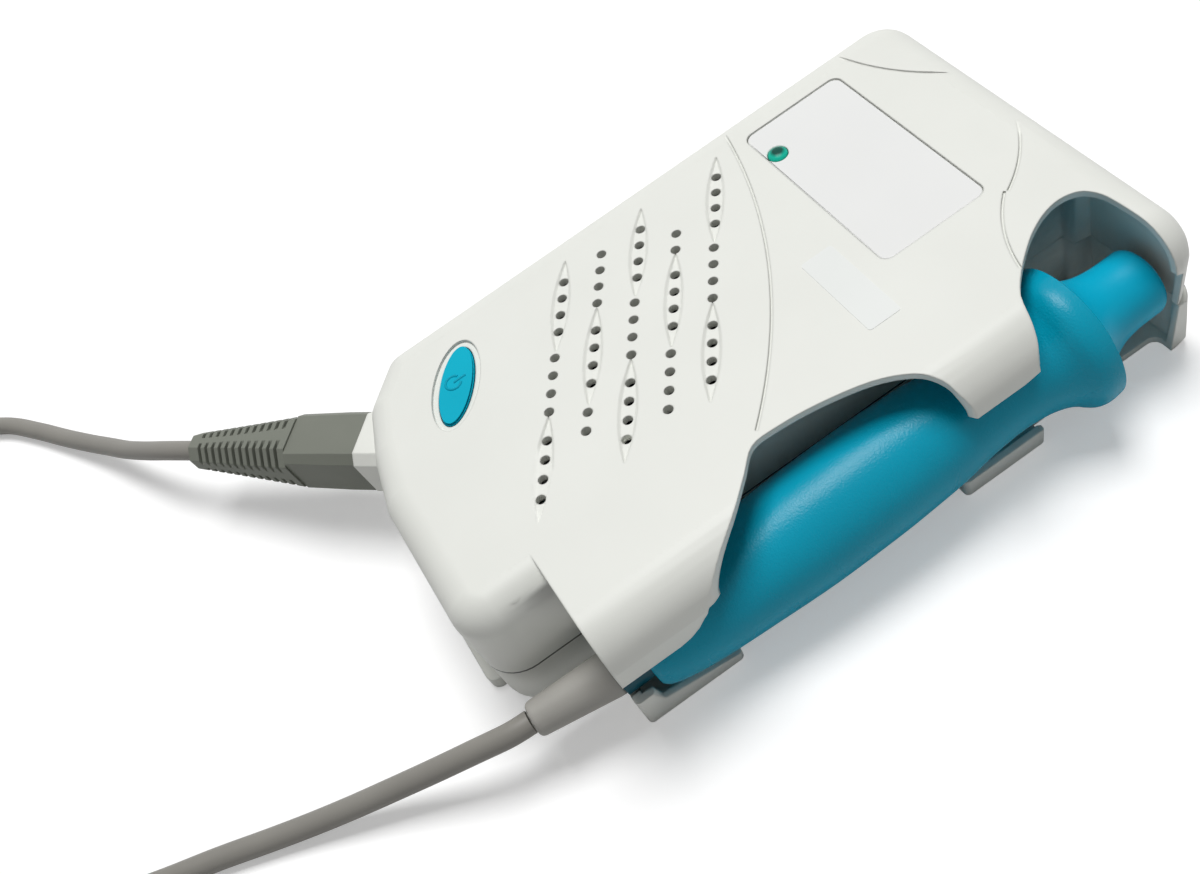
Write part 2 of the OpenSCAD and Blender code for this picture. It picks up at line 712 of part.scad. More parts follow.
module power_button() color([0.03, 0.7, 0.8]) on_table() {
    top = button_z;
    under = ceiling - 0.1;
    translate([0, 0, under - 0.5]) linear_extrude(top - under - 0.1) at_button() ellipse(button_l, button_w);
    translate([0, 0, top - 0.7]) linear_extrude(0.7) at_button() ellipse(button_l - 1, button_w - 1);
    translate([0, 0, under - button_flange_t]) linear_extrude(button_flange_t)
        at_button() ellipse(button_l + 2 * button_flange, button_w + 2 * button_flange);
    translate([button_x, button_y, plunger_top()])
        cylinder(r = 2, h = under - plunger_top() - button_flange_t / 2, $fn = round_fn);
}

function plunger_top() = small_board_z + board_t + switch_h + plunger_h;
function wheel_z() = main_board_z + board_t + pot_h + wheel_gap;
function jack_z() = main_board_z + board_t + jack_h / 2;

module switch_plunger() color([0.15, 0.15, 0.16]) on_table()
    translate([button_x, button_y, plunger_top() - plunger_h - 1])
        cylinder(r = plunger_r, h = plunger_h + 1, $fn = round_fn);

module tact_switch() color([0.3, 0.3, 0.32]) on_table() difference() {
    translate([button_x - switch_w / 2, button_y - switch_w / 2, small_board_z + board_t])
        cube([switch_w, switch_w, switch_h]);
    translate([button_x, button_y, small_board_z + board_t + switch_h - 1 - button_travel - 0.4])
        cylinder(r = plunger_r + shaft_gap, h = 4, $fn = round_fn);
}

module button_board() color([0.05, 0.4, 0.22]) on_table() difference() {
    translate([small_board[0], small_board[1], small_board_z])
        cube([small_board[2], small_board[3], board_t]);
    columns(small_posts, pilot_r + 0.2, small_board_z - 1, small_board_z + board_t + 1);
}

module at_speaker(z)
    translate([speaker_x, speaker_y, z]) children();

module speaker_gasket() color([0.12, 0.12, 0.13]) on_table() at_speaker(ceiling - gasket_t) difference() {
    cylinder(d = speaker_d, h = gasket_t, $fn = 96);
    translate([0, 0, -1]) cylinder(d = speaker_d - 7, h = gasket_t + 2, $fn = 96);
}

function speaker_low() = well_roof + well_wall + 0.3;

module speaker_frame() color([0.45, 0.46, 0.48]) on_table() at_speaker(0) rotate_extrude($fn = 96) {
    top = ceiling - gasket_t;
    low = speaker_low() + magnet_t;
    polygon([[speaker_d / 2, top], [speaker_d / 2, top - speaker_rim_t],
             [speaker_d / 2 - 4, top - speaker_rim_t], [magnet_d / 2 + 1, low], [6, low],
             [6, low + 1], [magnet_d / 2 + 0.4, low + 1],
             [speaker_d / 2 - 4.6, top - 0.8], [speaker_d / 2 - 4.6, top]]);
}

module speaker_cone() color([0.2, 0.2, 0.21]) on_table() at_speaker(0) rotate_extrude($fn = 96) {
    top = ceiling - gasket_t - 0.5;
    low = speaker_low() + magnet_t + 1;
    edge = speaker_d / 2 - 5.2;
    polygon([[0, low + 3], [cone_low_r - 2, low + 2.4], [cone_low_r, low + 0.6], [edge - 2, top - 1],
             [edge, top - 0.6], [edge, top - 0.1], [edge - 2, top - 0.4], [cone_low_r, low + 1.4],
             [cone_low_r - 2, low + 3.2], [0, low + 3.8]]);
}

module speaker_magnet() color([0.25, 0.25, 0.27]) on_table() at_speaker(speaker_low()) {
    cylinder(d = magnet_d, h = magnet_t, $fn = 64);
    translate([0, 0, magnet_t - 0.1]) cylinder(d = 11.6, h = 3.4, $fn = 48);
}

module main_board() color([0.05, 0.4, 0.22]) on_table() difference() {
    translate([board_x, board_y, main_board_z]) cube([board_w, board_l, board_t]);
    columns(board_posts, pilot_r + 0.2, main_board_z - 1, main_board_z + board_t + 1);
}

// Chips and a connector, then capacitors: place on the board, size
chips = [[22, 14, 10, 10, 1.6], [36, 16, 7, 5, 1.4], [20, 29, 12, 7, 2.2], [37, 26, 5, 5, 1.2],
         [24, 3, 12, 5, 6]];
cans = [[30, 10.5, 2.6, 6], [41, 11, 2.6, 6], [34, 33, 3.2, 7]];
led_w = 3.2;
led_h = 1.2;

module board_parts() color([0.16, 0.16, 0.17]) on_table() translate([0, 0, main_board_z + board_t]) {
    translate([board_x, board_y, 0]) {
        for (c = chips) translate([c[0], c[1], 0]) cube([c[2], c[3], c[4]]);
        for (c = cans) translate([c[0], c[1], 0]) cylinder(r = c[2], h = c[3], $fn = round_fn);
    }
    translate([lamp_x - led_w / 2, lamp_y - led_w / 2, 0]) cube([led_w, led_w, led_h]);
}

module board_screws() color([0.7, 0.71, 0.72]) on_table() {
    columns(board_posts, pilot_r - shaft_gap, main_board_z - 6, main_board_z + board_t);
    columns(board_posts, 2, main_board_z + board_t, main_board_z + board_t + 1.3);
    columns(small_posts, pilot_r - shaft_gap, small_board_z - 6, small_board_z + board_t);
    columns(small_posts, 1.9, small_board_z + board_t, small_board_z + board_t + 1.3);
}

module volume_pot() color([0.2, 0.2, 0.22]) on_table() {
    translate([wheel_x - pot_w / 2, wheel_y - pot_w / 2, main_board_z + board_t]) cube([pot_w, pot_w, pot_h]);
    translate([wheel_x, wheel_y, main_board_z + board_t])
        cylinder(r = pot_shaft_r, h = pot_h + wheel_gap + wheel_t + 1, $fn = round_fn);
}

module volume_wheel() color([0.35, 0.36, 0.37])
on_table() translate([wheel_x, wheel_y, wheel_z()]) difference() {
    cylinder(d = wheel_d, h = wheel_t, $fn = 72);
    translate([0, 0, -1]) cylinder(r = pot_shaft_r + shaft_gap, h = wheel_t + 2, $fn = round_fn);
    for (k = [0:wheel_teeth - 1]) rotate(k * 360 / wheel_teeth)
        translate([wheel_d / 2 + 0.2, 0, -1]) cylinder(r = 0.55, h = wheel_t + 2, $fn = 6);
    translate([0, 0, wheel_t - 0.6]) difference() {
        cylinder(d = wheel_d - 4, h = 2, $fn = 48);
        translate([0, 0, -1]) cylinder(d = 6, h = 4, $fn = 48);
    }
}

module earphone_jack() color([0.14, 0.14, 0.15]) on_table() difference() {
    union() {
        translate([jack_x - jack_w / 2, case_l - wall - jack_l, main_board_z + board_t])
            cube([jack_w, jack_l - 0.1, jack_h]);
        translate([jack_x, case_l, jack_z()]) rotate([90, 0, 0])
            cylinder(r = jack_barrel_r, h = wall + 1, $fn = round_fn);
    }
    translate([jack_x, case_l + 1, jack_z()]) rotate([90, 0, 0])
        cylinder(r = jack_r, h = jack_l, $fn = round_fn);
}

function cell_x(k) = well_x + well_gap + cell_d / 2 + k * cell_pitch;

module battery_cells() color([0.25, 0.3, 0.36]) on_table() {
    for (k = [0, 1]) translate([cell_x(k), well_y + well_l / 2, cell_z]) rotate([0, 0, k * 180])
        translate([0, spring_l / 2 - cell_l / 2, 0]) rotate([-90, 0, 0]) {
            cylinder(d = cell_d, h = cell_l - 1.3, $fn = 64);
            cylinder(d = 5.4, h = cell_l, $fn = round_fn);
        }
}

// A cone-shaped wire spring along +Z, its end turns flat
function spring_path(l, r0, r1, turns) = [for (i = [0:turns * 10])
    let (t = i / (turns * 10), r = r0 + (r1 - r0) * t)
    [r * cos(360 * turns * t), r * sin(360 * turns * t), spring_wire / 2 + (l - spring_wire) * t]];

module battery_springs() color([0.75, 0.76, 0.78]) on_table()
    for (k = [0, 1]) translate([cell_x(k), well_y + well_l / 2, cell_z]) rotate([0, 0, k * 180])
        translate([0, contact_t - well_l / 2, 0]) rotate([-90, 0, 0])
            tube(spring_path(spring_l - 0.05, spring_r, spring_r - 1.6, spring_turns), spring_wire / 2, 5);

module contact_plates() color([0.8, 0.7, 0.42]) on_table()
    for (k = [0, 1]) translate([cell_x(0) - 5.5, well_y + k * (well_l - contact_t), cell_z - 5])
        cube([cell_pitch + 11, contact_t, 10]);

module case_screws() color([0.6, 0.61, 0.63]) on_table() {
    columns(case_bosses, screw_head_r, screw_sink - screw_head_t, screw_sink);
    columns(case_bosses, screw_r - shaft_gap, screw_sink, screw_sink + screw_l);
}

module socket_collar() color([0.9, 0.91, 0.885]) on_table() at_plug() difference() {
    translate([0, 0, -collar_in]) linear_extrude(collar_in) cut_square(collar_w, 2);
    translate([0, 0, -collar_in - 1]) linear_extrude(collar_in + 2) cut_square(nose_w + 2 * slip, 1.4);
}

module probe_socket() color([0.2, 0.2, 0.22]) on_table() at_plug() difference() {
    translate([0, 0, -collar_in - socket_l]) linear_extrude(socket_l) cut_square(plug_w - 0.6, 1.4);
    for (p = plug_pin_places()) translate([p[0], p[1], -collar_in - 4.5]) cylinder(r = 0.65, h = 6, $fn = 24);
}

function plug_pin_places() = [for (a = [0:60:300]) 3 * [cos(a), sin(a)]];

module plug_shell() color([0.5, 0.5, 0.46]) on_table() at_plug() {
    hull() {
        linear_extrude(0.2) cut_square(plug_w, 1.8);
        translate([0, 0, 6]) linear_extrude(0.2) cut_square(plug_w, 1.8);
        translate([0, 0, plug_l - 0.2]) linear_extrude(0.2) cut_square(plug_end_w, 1.6);
    }
    translate([0, 0, -nose_l]) linear_extrude(nose_l + 0.1) cut_square(nose_w, 1.4);
}

module plug_pins() color([0.85, 0.75, 0.4]) on_table() at_plug()
    for (p = plug_pin_places()) translate([p[0], p[1], -collar_in - 3.5])
        cylinder(r = 0.6, h = collar_in + 3.5 - nose_l, $fn = 24);

// The ribbed boot: a tapered square that turns round, slotted in rows on its sides
module plug_boot() color([0.5, 0.5, 0.46]) on_table() at_plug() translate([0, 0, plug_l]) difference() {
    hull() {
        linear_extrude(0.2) cut_square(boot_w, 3);
        translate([0, 0, boot_l * 0.5]) linear_extrude(0.2) cut_square(boot_w * 0.78, 2.7);
        translate([0, 0, boot_l - 0.2]) cylinder(r = boot_end_r, h = 0.2, $fn = 24);
    }
    for (side = [0:90:270]) rotate(side) for (k = [0:boot_slots - 1]) {
        z = 2.2 + k * (boot_l - 5) / (boot_slots - 0.5);
        half = boot_w / 2 - z / boot_l * (boot_w / 2 - boot_end_r);
        translate([half - 1.1, -half * 0.55, z]) cube([4, half * 1.1, slot_w]);
    }
}

// The probe lies along its axis, which rises a little towards the head
module at_probe()
    translate([probe_x, holder_y, probe_z]) rotate([probe_tilt, 0, 0]) rotate([-90, 0, 0]) children();

// Outline of the body: the tail's distances and how far inside the grip's radius
// they lie, the taper from the grip to the waist as shares of both, and the flare
// and the flange back from the front
body_outline = [[0, 5], [0.3, 4.1], [1.6, 3.2], [4, 2.5], [8, 1.8], [14, 1.2], [24, 0.6]];
grip_start = 36;
grip_end = 50;
waist_start = body_l - 20;
body_taper = [[0.286, 0.853], [0.571, 0.6], [0.786, 0.2]];
body_flare = [[-16, 0.1], [-12.8, 0.5], [-10.4, 1.1], [-8.4, 1.9]];
body_front = [[-6.9, 0.3], [-5.9, 0.58], [-4.7, 0.85], [-3.4, 0.98], [-2.2, 1], [-0.9, 0.96], [0, 0.9]];
flare_r = waist_r + 1.9;

function flange_at(share) = flare_r + (flange_r - flare_r) * share;
function body_line() = concat(
    [for (p = body_outline) [grip_r - p[1], p[0]]],
    [[grip_r, grip_start], [grip_r, grip_end]],
    [for (p = body_taper) [waist_r + (grip_r - waist_r) * p[1], grip_end + (waist_start - grip_end) * p[0]]],
    [[waist_r, waist_start]],
    [for (p = body_flare) [waist_r + p[1], body_l + p[0]]],
    [for (p = body_front) [flange_at(p[1]), body_l + p[0]]]);

module probe_body() color([0.02, 0.5, 0.62]) on_table() at_probe() translate([0, 0, body_start])
    rotate_extrude($fn = 64) polygon(concat([[0, 0]], body_line(), [[0, body_l]]));

// The head flares out to meet the flange and ends in a rounded nose
head_outline = [[0, 1], [1.2, 0.62], [3.2, 0.32], [6, 0.12], [9.5, 0.02], [13, 0]];

module probe_head() color([0.03, 0.62, 0.76]) on_table() at_probe() translate([0, 0, head_start])
    rotate_extrude($fn = 64) polygon(concat([[0, 0]],
        [for (p = head_outline) [head_r + (head_base() - head_r) * p[1], p[0]]],
        arc(head_r - 2, head_l - 2.4, 2, 0, 78, 5), [[lens_r(), head_l - 0.4], [0, head_l - 0.4]]));

function head_base() = flange_at(0.9) - 1.2;
function lens_r() = head_r - 2.2;

module probe_lens() color([0.75, 0.77, 0.78])
on_table() at_probe() translate([0, 0, head_start + head_l - 0.4])
    cylinder(r = lens_r() - 0.1, h = 0.4, $fn = 48);

module probe_neck() color([0.02, 0.25, 0.32]) on_table() at_probe()
    cylinder(r = neck_r, h = body_start, $fn = 48);

// The relief bends a little towards the case, and its base stays flat on the neck
module probe_relief() color([0.58, 0.57, 0.55]) on_table() at_probe() difference() {
    rotate(relief_turn) mirror([0, 0, 1])
        rotate_extrude($fn = 48)
            polygon([[0, -1], [relief_r, -1], [relief_r, 1], [relief_r - 1, relief_l - 0.6],
                     [relief_r - 1.5, relief_l], [0, relief_l]]);
    translate([-relief_r - 1, -relief_r - 1, 0]) cube([2 * relief_r + 2, 2 * relief_r + 2, 5]);
}

module cord_plug_run() color([0.42, 0.41, 0.38]) tube(plug_run, cord_d / 2, cord_sides);
module cord_probe_run() color([0.42, 0.41, 0.38]) tube(probe_run, cord_d / 2, cord_sides);

// The coil winds in on the table and out again above, and climbs in the half
// turn where it reverses. It starts on its left, where the plug's run comes in,
// and ends towards the probe.
function climb(t) = let (s = max(0, min(1, t))) s * s * (3 - 2 * s);
function coil_point(t) =
    let (r = coil_in_r + coil_pitch * abs(t), a = 180 + 360 * (t + coil_turns))
    [coil_x + r * cos(a), coil_y + r * sin(a), coil_z + coil_pitch * climb(2 * t + 0.5)];
coil_path = [for (i = [0:coil_rings * (coil_turns + coil_out)]) coil_point(i / coil_rings - coil_turns)];
coil_far = coil_rings / 2;
coil_least = min([for (i = [0:len(coil_path) - 1 - coil_far]) for (j = [i + coil_far:len(coil_path) - 1])
                  norm(coil_path[i] - coil_path[j])]);
echo(coil_gap = coil_least - cord_d);
function length_of(p) = norm(p[0] - p[1]) + (len(p) > 2 ? length_of([for (i = [1:len(p) - 1]) p[i]]) : 0);
echo(cord_length = length_of(plug_run) + length_of(coil_path) + length_of(probe_run));

module cord_coil() color([0.42, 0.41, 0.38]) tube(coil_path, cord_d / 2, coil_sides);

module cord_tie() color([0.1, 0.1, 0.11]) {
    low = coil_in_r - cord_d / 2 - tie_t;
    out = coil_in_r + coil_pitch * coil_turns + cord_d / 2 + tie_t;
    high = coil_z + coil_pitch + cord_d / 2 + tie_t;
    translate([coil_x, coil_y, 0]) rotate(270) translate([low, -tie_w / 2, 0]) difference() {
        cube([out - low, tie_w, high]);
        translate([tie_t, -1, tie_t]) cube([out - low - 2 * tie_t, tie_w + 2, high - 2 * tie_t]);
    }
}

top_cover();
bottom_shell();
battery_door();
label_panel();
led_lens();
power_button();
switch_plunger();
tact_switch();
button_board();
speaker_gasket();
speaker_frame();
speaker_cone();
speaker_magnet();
main_board();
board_parts();
board_screws();
volume_pot();
volume_wheel();
earphone_jack();
battery_cells();
battery_springs();
contact_plates();
case_screws();
socket_collar();
probe_socket();
plug_shell();
plug_pins();
plug_boot();
probe_body();
probe_head();
probe_lens();
probe_neck();
probe_relief();
cord_plug_run();
cord_coil();
cord_probe_run();
cord_tie();
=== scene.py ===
import json
import math

import bmesh
import bpy
from mathutils import Matrix, Vector


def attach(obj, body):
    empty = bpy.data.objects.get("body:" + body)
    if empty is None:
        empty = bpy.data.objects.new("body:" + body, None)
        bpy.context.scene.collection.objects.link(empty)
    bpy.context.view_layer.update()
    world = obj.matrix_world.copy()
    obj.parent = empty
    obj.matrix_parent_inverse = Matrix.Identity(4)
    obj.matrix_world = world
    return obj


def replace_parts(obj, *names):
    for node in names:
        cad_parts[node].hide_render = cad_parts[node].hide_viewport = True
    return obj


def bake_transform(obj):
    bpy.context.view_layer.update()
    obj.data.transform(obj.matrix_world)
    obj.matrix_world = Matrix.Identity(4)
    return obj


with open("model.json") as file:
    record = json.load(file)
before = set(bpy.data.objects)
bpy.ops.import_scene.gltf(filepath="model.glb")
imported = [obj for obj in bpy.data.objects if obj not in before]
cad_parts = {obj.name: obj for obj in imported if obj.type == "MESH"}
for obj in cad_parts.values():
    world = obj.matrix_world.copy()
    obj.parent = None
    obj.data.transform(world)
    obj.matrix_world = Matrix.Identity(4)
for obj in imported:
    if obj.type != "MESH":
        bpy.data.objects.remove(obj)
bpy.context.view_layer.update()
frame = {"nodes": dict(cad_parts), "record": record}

nodes = frame["nodes"]
record = frame["record"]
bodyOf = {n: body for body, names in record["behaviour"]["bodies"].items() for n in names}
slotOf = {part["node"]: part["material_slot"] for part in record["subparts"]}
mm = 0.001
caseMiddle = (46, 72)  # the case's middle in its own plan, which is the frame's origin
caseTop = 35.4
creaseAngle = 34  # in degrees: edges that turn further than this stay sharp
turnedAngle = 40  # the same on the probe
tubeAngle = 60  # the same on cords
cornerAngle = 60  # edges that turn further than this count as a shell's corners


def plan(x, y, z):
    # a point of the case's plan, in the frame
    return Vector(((x - caseMiddle[0]) * mm, (y - caseMiddle[1]) * mm, z * mm))


def turn(degrees, axis):
    return Matrix.Rotation(math.radians(degrees), 4, axis)


def catmull(points, steps):
    # a smooth line through a few points
    line = []
    last = len(points) - 1
    for i in range(last):
        a, b, c, d = (Vector(points[max(0, min(last, i + k))]) for k in (-1, 0, 1, 2))
        for k in range(steps):
            t = k / steps
            line.append(0.5 * (2 * b + (c - a) * t + (2 * a - 5 * b + 4 * c - d) * t * t
                               + (3 * b - a - 3 * c + d) * t * t * t))
    return line + [Vector(points[-1])]


def smooth(mesh, angle=creaseAngle):
    mesh.shade_smooth()
    mesh.set_sharp_from_angle(angle=math.radians(angle))


def addObject(name, data):
    made = bpy.data.objects.new(name, data)
    bpy.context.scene.collection.objects.link(made)
    return made


def addPiece(name, mesh, body, slot, material=None):
    mesh.materials.append(material or finish[slot])
    piece = addObject(name, mesh)
    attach(piece, body)
    return piece


def meshFrom(bm, name, angle=creaseAngle):
    bmesh.ops.recalc_face_normals(bm, faces=bm.faces)
    mesh = bpy.data.meshes.new(name)
    bm.to_mesh(mesh)
    bm.free()
    smooth(mesh, angle)
    return mesh


def tubeMesh(name, lines, radius, sides):
    # a round tube along each line, closed at its ends
    curve = bpy.data.curves.new(name, "CURVE")
    curve.dimensions = "3D"
    curve.bevel_depth = radius
    curve.bevel_resolution = sides
    curve.use_fill_caps = True
    for line in lines:
        spline = curve.splines.new("POLY")
        spline.points.add(len(line) - 1)
        for point, p in zip(spline.points, line):
            point.co = (*p, 1)
    guide = addObject(name, curve)
    shown = guide.evaluated_get(bpy.context.evaluated_depsgraph_get())
    mesh = bpy.data.meshes.new_from_object(shown)
    bpy.data.objects.remove(guide)
    bpy.data.curves.remove(curve)
    mesh.name = name
    smooth(mesh, tubeAngle)
    return mesh


def bevelEdges(bm, edges, size, segments):
    bmesh.ops.bevel(bm, geom=edges, offset=size * mm, segments=segments, profile=0.5,
                    affect="EDGES", clamp_overlap=True, material=-1)


# The camera, where the photograph was taken from
camera = {"place": (0.15507, -0.04579, 0.22106), "azimuth": -5.58, "elevation": 50.97,
          "roll": -30.67, "lens": 39.55, "sensor": 36, "near": 0.01}


def makeCamera():
    azimuth, elevation, roll = (math.radians(camera[k]) for k in ("azimuth", "elevation", "roll"))
    back = Vector((math.cos(elevation) * math.cos(azimuth),
                   math.cos(elevation) * math.sin(azimuth), math.sin(elevation)))
    level = (-back).cross(Vector((0, 0, 1))).normalized()
    rise = level.cross(-back)
    side = level * math.cos(roll) + rise * math.sin(roll)
    top = rise * math.cos(roll) - level * math.sin(roll)
    data = bpy.data.cameras.new("camera")
    data.lens = camera["lens"]
    data.sensor_width = camera["sensor"]
    data.clip_start = camera["near"]
    eye = addObject("camera", data)
    facing = Matrix((side, top, back)).transposed().to_4x4()
    eye.matrix_world = Matrix.Translation(camera["place"]) @ facing
    bpy.context.scene.camera = eye


# Materials
def addNode(tree, kind, sockets=None, **settings):
    node = tree.nodes.new("ShaderNode" + kind)
    for key, value in settings.items():
        setattr(node, key, value)
    for socket, value in (sockets or {}).items():
        node.inputs[socket].default_value = value
    return node


def wire(start, output, end, socket):
    end.id_data.links.new(start.outputs[output], end.inputs[socket])


def addRamp(tree, *stops):
    ramp = addNode(tree, "ValToRGB")
    for element, (position, colour) in zip(ramp.color_ramp.elements, stops):
        element.position = position
        element.color = (*colour, 1)
    return ramp


def newMaterial(name):
    mat = bpy.data.materials.new(name)
    mat.use_nodes = True
    return mat, mat.node_tree, mat.node_tree.nodes["Principled BSDF"]


clouded = {"low": 0.3, "high": 0.7, "detail": 4, "roughness": 0.05}
grained = {"detail": 2, "edgeSamples": 6}


def plastic(name, colour, shade, roughness, grain=2200, depth=0.02, strength=0.35, cloud=45,
            specular=0.3, edge=0.0):
    # moulded plastic: a faint cloud in its colour, a fine grain in its face, soft edges
    mat, tree, bsdf = newMaterial(name)
    bsdf.inputs["Specular IOR Level"].default_value = specular
    place = addNode(tree, "TexCoord")
    clouds = addNode(tree, "TexNoise", {"Scale": cloud, "Detail": clouded["detail"]})
    wire(place, "Object", clouds, "Vector")
    ramp = addRamp(tree, (clouded["low"], shade), (clouded["high"], colour))
    wire(clouds, "Fac", ramp, "Fac")
    wire(ramp, "Color", bsdf, "Base Color")
    gloss = addNode(tree, "MapRange", {"To Min": roughness - clouded["roughness"],
                                       "To Max": roughness + clouded["roughness"]})
    wire(clouds, "Fac", gloss, "Value")
    wire(gloss, "Result", bsdf, "Roughness")
    fine = addNode(tree, "TexNoise", {"Scale": grain, "Detail": grained["detail"]})
    wire(place, "Object", fine, "Vector")
    bump = addNode(tree, "Bump", {"Strength": strength, "Distance": depth * mm})
    wire(fine, "Fac", bump, "Height")
    wire(bump, "Normal", bsdf, "Normal")
    if edge:
        soft = addNode(tree, "Bevel", {"Radius": edge * mm}, samples=grained["edgeSamples"])
        wire(soft, "Normal", bump, "Normal")
    return mat


def metal(name, colour, roughness, streak):
    # turned or rolled metal: plastic's nodes made metallic, with a finer grain
    shade = [0.8 * c for c in colour]
    mat = plastic(name, colour, shade, roughness, grain=streak, depth=0.01)
    mat.node_tree.nodes["Principled BSDF"].inputs["Metallic"].default_value = 1
    return mat


# By material slot. Grain depths and edges are in mm
finish = {
    "case_white": plastic("caseWhite", (0.79, 0.80, 0.755), (0.765, 0.775, 0.73), 0.42,
                          grain=2600, edge=0.55),
    "panel_white": plastic("panelWhite", (0.82, 0.825, 0.815), (0.805, 0.81, 0.80), 0.2,
                           grain=700, depth=0.004),
    "lamp_green": plastic("lampGreen", (0.01, 0.45, 0.27), (0.004, 0.16, 0.10), 0.3,
                          cloud=600, specular=0.12),
    "button_teal": plastic("buttonTeal", (0.002, 0.44, 0.60), (0.002, 0.40, 0.55), 0.42,
                           grain=3000, depth=0.03, specular=0.08),
    "probe_teal": plastic("probeTeal", (0.001, 0.35, 0.51), (0.001, 0.32, 0.47), 0.27,
                          grain=2600, depth=0.09, strength=0.7, specular=0.17),
    "head_cyan": plastic("headCyan", (0.002, 0.42, 0.62), (0.002, 0.385, 0.58), 0.38,
                         grain=2600, depth=0.05, strength=0.5, specular=0.15),
    # painted shade: the probe's teal darkened for the neck, which lies in shadow in the holder's
    # slot
    "neck_dark": plastic("neckShadedTeal", (0.003, 0.09, 0.13), (0.003, 0.07, 0.1), 0.4),
    "lens_grey": plastic("lensGrey", (0.45, 0.47, 0.47), (0.4, 0.42, 0.42), 0.2),
    "relief_grey": plastic("reliefGrey", (0.40, 0.39, 0.36), (0.35, 0.34, 0.315), 0.55,
                           grain=1800, depth=0.04, strength=0.6),
    "plug_grey": plastic("plugGrey", (0.19, 0.20, 0.168), (0.165, 0.175, 0.147), 0.5,
                         grain=2000, depth=0.04),
    "boot_grey": plastic("bootGrey", (0.20, 0.212, 0.178), (0.175, 0.186, 0.156), 0.55,
                         grain=2000, depth=0.04, edge=0.35),
    "cord_grey": plastic("cordGrey", (0.27, 0.26, 0.235), (0.235, 0.226, 0.205), 0.4, grain=1500),
    "tie_black": plastic("tieBlack", (0.02, 0.02, 0.022), (0.013, 0.013, 0.014), 0.7,
                         grain=3500, depth=0.2),
    "board_green": plastic("boardGreen", (0.012, 0.12, 0.05), (0.008, 0.09, 0.04), 0.3),
    "black_plastic": plastic("blackPlastic", (0.02, 0.02, 0.022), (0.014, 0.014, 0.015), 0.45),
    "wheel_grey": plastic("wheelGrey", (0.1, 0.105, 0.11), (0.08, 0.084, 0.09), 0.5),
    "foam_black": plastic("foamBlack", (0.006, 0.006, 0.006), (0.004, 0.004, 0.004), 0.9,
                          grain=3000, depth=0.3, specular=0.03),
    "paper_black": plastic("paperBlack", (0.007, 0.007, 0.007), (0.005, 0.005, 0.005), 0.8,
                           grain=2500, depth=0.1, specular=0.03),
    "steel": metal("steel", (0.55, 0.56, 0.58), 0.3, 3000),
    "contact_brass": metal("contactBrass", (0.75, 0.55, 0.25), 0.3, 3000),
    "cell_wrap": plastic("cellWrap", (0.05, 0.06, 0.08), (0.03, 0.04, 0.05), 0.25),
}


# The lamp's green lens has painted shade in its middle and painted light at its rim
lampPaintedLight = {"middle": (17.3, 104.2, 35.6), "radius": 2.2,
            "dark": (0.45, (0.004, 0.075, 0.055)), "bright": (0.8, (0.01, 0.50, 0.36))}


def paintLampLight(mat):
    tree = mat.node_tree
    place = addNode(tree, "TexCoord")
    away = addNode(tree, "VectorMath", {1: plan(*lampPaintedLight["middle"])}, operation="DISTANCE")
    wire(place, "Object", away, 0)
    share = addNode(tree, "MapRange", {"From Max": lampPaintedLight["radius"] * mm})
    wire(away, "Value", share, "Value")
    tint = addRamp(tree, lampPaintedLight["dark"], lampPaintedLight["bright"])
    wire(share, "Result", tint, "Fac")
    wire(tint, "Color", tree.nodes["Principled BSDF"], "Base Color")


# Where the two shells meet, both are chamfered, and a fine line of painted shade runs round them
# for the shade that falls in the gap. The bay at the holder's far end has no line, because its
# walls catch the light
seam = {"height": 15, "chamfer": 0.22, "half": 0.3, "shade": 0.12, "bay": (68, 119.4),
        "bayReach": (22, 24.4), "level": 0.02}


def paintSeamShade(mat):
    tree = mat.node_tree
    bsdf = tree.nodes["Principled BSDF"]
    old = bsdf.inputs["Base Color"].links[0].from_node
    place = addNode(tree, "TexCoord")
    split = addNode(tree, "SeparateXYZ")
    wire(place, "Object", split, 0)
    off = addNode(tree, "Math", {1: seam["height"] * mm}, operation="SUBTRACT")
    wire(split, "Z", off, 0)
    away = addNode(tree, "Math", operation="ABSOLUTE")
    wire(off, 0, away, 0)
    bay = addNode(tree, "Math", operation="MULTIPLY")
    middle = plan(*seam["bay"], 0)
    for k, axis in enumerate("XY"):
        near = addNode(tree, "Math", {1: middle[k], 2: seam["bayReach"][k] * mm},
                       operation="COMPARE")
        wire(split, axis, near, 0)
        wire(near, 0, bay, k)
    clear = addNode(tree, "Math", operation="ADD")
    wire(away, 0, clear, 0)
    wire(bay, 0, clear, 1)
    fade = addNode(tree, "MapRange", {"From Min": seam["half"] * mm / 2,
                                      "From Max": seam["half"] * mm, "To Min": seam["shade"]})
    wire(clear, 0, fade, "Value")
    # painted shade: the colour is darkened towards seam shade in a fine band round the seam's
    # height
    darker = addNode(tree, "Mix", {"Factor": 1}, data_type="RGBA", blend_type="MULTIPLY")
    wire(old, "Color", darker, "A")
    wire(fade, "Result", darker, "B")
    wire(darker, "Result", bsdf, "Base Color")
    return mat


def isCorner(edge):
    # an outer edge between two faces that meet steeply
    return (len(edge.link_faces) == 2 and edge.is_convex
            and edge.calc_face_angle() > math.radians(cornerAngle))


def softenSeam(bm, name):
    height, level = seam["height"] * mm, seam["level"] * mm
    meeting = [e for e in bm.edges
               if isCorner(e) and all(abs(v.co.z - height) < level for v in e.verts)]
    bevelEdges(bm, meeting, seam["chamfer"], 1)
    print(name, "seam edges chamfered:", len(meeting))


# The tabs under the probe have round corners, then soft rims
tabs = {"beyond": 85.3, "below": 11.2, "corner": 1.1, "rim": 0.4, "steep": 0.8}


